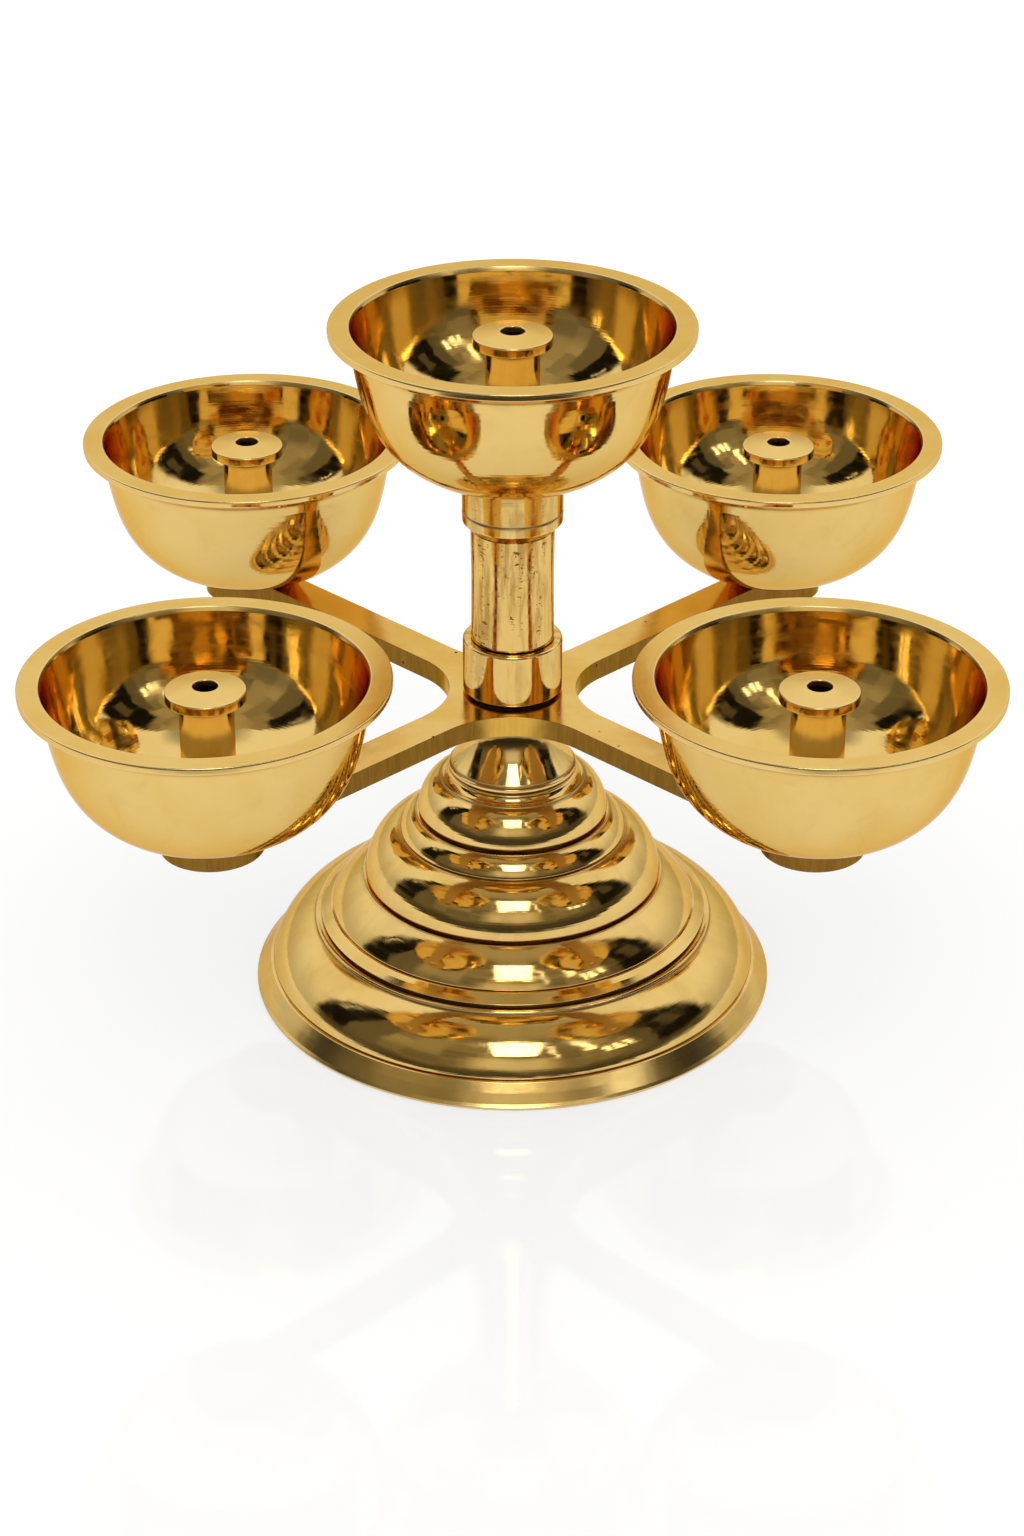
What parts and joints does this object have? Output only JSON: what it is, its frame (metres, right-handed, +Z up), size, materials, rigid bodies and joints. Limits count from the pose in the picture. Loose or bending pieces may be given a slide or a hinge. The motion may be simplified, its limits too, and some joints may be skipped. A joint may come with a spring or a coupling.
{
  "type": "oil lamp",
  "caption": "Standing brass oil lamp: stepped round base, turned column, and a cross of arms whose round bowls are held down by screwed hollow wick posts.",
  "frame": {"origin": "centre of the foot ring, on the floor the lamp stands on", "axes": "+Z up along the lamp's axis, the front is -Y, and the arms lie halfway between the X and Y axes"},
  "size_m": [0.2634, 0.2634, 0.2096],
  "materials": {
    "polished_brass": "turned and polished, fine circumferential marks",
    "cast_brass": "cast, top buffed, edges filed",
    "zinc_steel": "zinc-plated",
    "seal_leather": "dark oiled leather"
  },
  "bodies": {
    "base": {"base_casting": "polished_brass", "tie_rod": "zinc_steel", "base_nut": "zinc_steel", "base_washer": "zinc_steel"},
    "arms": {"arm_spider": "cast_brass"},
    "hub_ring": {"hub_washer": "seal_leather"},
    "column": {"lower_ferrule": "polished_brass", "column_tube": "polished_brass", "upper_coupling": "polished_brass"},
    "front_left_bowl": {"front_left_bowl": "polished_brass"},
    "front_left_seal": {"front_left_seal_washer": "seal_leather"},
    "front_left_post": {"front_left_wick_post": "polished_brass"},
    "front_right_bowl": {"front_right_bowl": "polished_brass"},
    "front_right_seal": {"front_right_seal_washer": "seal_leather"},
    "front_right_post": {"front_right_wick_post": "polished_brass"},
    "rear_left_bowl": {"rear_left_bowl": "polished_brass"},
    "rear_left_seal": {"rear_left_seal_washer": "seal_leather"},
    "rear_left_post": {"rear_left_wick_post": "polished_brass"},
    "rear_right_bowl": {"rear_right_bowl": "polished_brass"},
    "rear_right_seal": {"rear_right_seal_washer": "seal_leather"},
    "rear_right_post": {"rear_right_wick_post": "polished_brass"},
    "centre_bowl": {"centre_bowl": "polished_brass"},
    "centre_seal": {"centre_seal_washer": "seal_leather"},
    "centre_post": {"centre_wick_post": "polished_brass"}
  },
  "joints": [
    {"name": "arms_swivel", "type": "hinge", "parent": "base", "child": "arms", "pos_m": [0, 0, 0.093], "axis": [0, 0, 1], "continuous": true},
    {"name": "column_lift", "type": "slide", "parent": "base", "child": "hub_ring", "axis": [0, 0, 1], "range_m": [0, 0.012]},
    {"name": "column_screw", "type": "hinge", "parent": "hub_ring", "child": "column", "pos_m": [0, 0, 0.0972], "axis": [0, 0, 1], "range_deg": [0, 2900]},
    {"name": "front_left_bowl_turn", "type": "hinge", "parent": "arms", "child": "front_left_bowl", "pos_m": [-0.08174, -0.08174, 0.0964], "axis": [0, 0, 1], "continuous": true},
    {"name": "front_left_post_lift", "type": "slide", "parent": "arms", "child": "front_left_seal", "axis": [0, 0, 1], "range_m": [0, 0.00625]},
    {"name": "front_left_post_screw", "type": "hinge", "parent": "front_left_seal", "child": "front_left_post", "pos_m": [-0.08174, -0.08174, 0.1009], "axis": [0, 0, 1], "range_deg": [0, 1815]},
    {"name": "front_right_bowl_turn", "type": "hinge", "parent": "arms", "child": "front_right_bowl", "pos_m": [0.08174, -0.08174, 0.0964], "axis": [0, 0, 1], "continuous": true},
    {"name": "front_right_post_lift", "type": "slide", "parent": "arms", "child": "front_right_seal", "axis": [0, 0, 1], "range_m": [0, 0.00625]},
    {"name": "front_right_post_screw", "type": "hinge", "parent": "front_right_seal", "child": "front_right_post", "pos_m": [0.08174, -0.08174, 0.1009], "axis": [0, 0, 1], "range_deg": [0, 1815]},
    {"name": "rear_left_bowl_turn", "type": "hinge", "parent": "arms", "child": "rear_left_bowl", "pos_m": [-0.08174, 0.08174, 0.0964], "axis": [0, 0, 1], "continuous": true},
    {"name": "rear_left_post_lift", "type": "slide", "parent": "arms", "child": "rear_left_seal", "axis": [0, 0, 1], "range_m": [0, 0.00625]},
    {"name": "rear_left_post_screw", "type": "hinge", "parent": "rear_left_seal", "child": "rear_left_post", "pos_m": [-0.08174, 0.08174, 0.1009], "axis": [0, 0, 1], "range_deg": [0, 1815]},
    {"name": "rear_right_bowl_turn", "type": "hinge", "parent": "arms", "child": "rear_right_bowl", "pos_m": [0.08174, 0.08174, 0.0964], "axis": [0, 0, 1], "continuous": true},
    {"name": "rear_right_post_lift", "type": "slide", "parent": "arms", "child": "rear_right_seal", "axis": [0, 0, 1], "range_m": [0, 0.00625]},
    {"name": "rear_right_post_screw", "type": "hinge", "parent": "rear_right_seal", "child": "rear_right_post", "pos_m": [0.08174, 0.08174, 0.1009], "axis": [0, 0, 1], "range_deg": [0, 1815]},
    {"name": "centre_bowl_turn", "type": "hinge", "parent": "column", "child": "centre_bowl", "pos_m": [0, 0, 0.1636], "axis": [0, 0, 1], "continuous": true},
    {"name": "centre_post_lift", "type": "slide", "parent": "column", "child": "centre_seal", "axis": [0, 0, 1], "range_m": [0, 0.00625]},
    {"name": "centre_post_screw", "type": "hinge", "parent": "centre_seal", "child": "centre_post", "pos_m": [0, 0, 0.1681], "axis": [0, 0, 1], "range_deg": [0, 1815]}
  ],
  "couplings": [
    {"joint": "column_screw", "follows": "column_lift", "rad_per_m": 4188.8},
    {"joint": "front_left_post_screw", "follows": "front_left_post_lift", "rad_per_m": 5026.5},
    {"joint": "front_right_post_screw", "follows": "front_right_post_lift", "rad_per_m": 5026.5},
    {"joint": "rear_left_post_screw", "follows": "rear_left_post_lift", "rad_per_m": 5026.5},
    {"joint": "rear_right_post_screw", "follows": "rear_right_post_lift", "rad_per_m": 5026.5},
    {"joint": "centre_post_screw", "follows": "centre_post_lift", "rad_per_m": 5026.5}
  ]
}
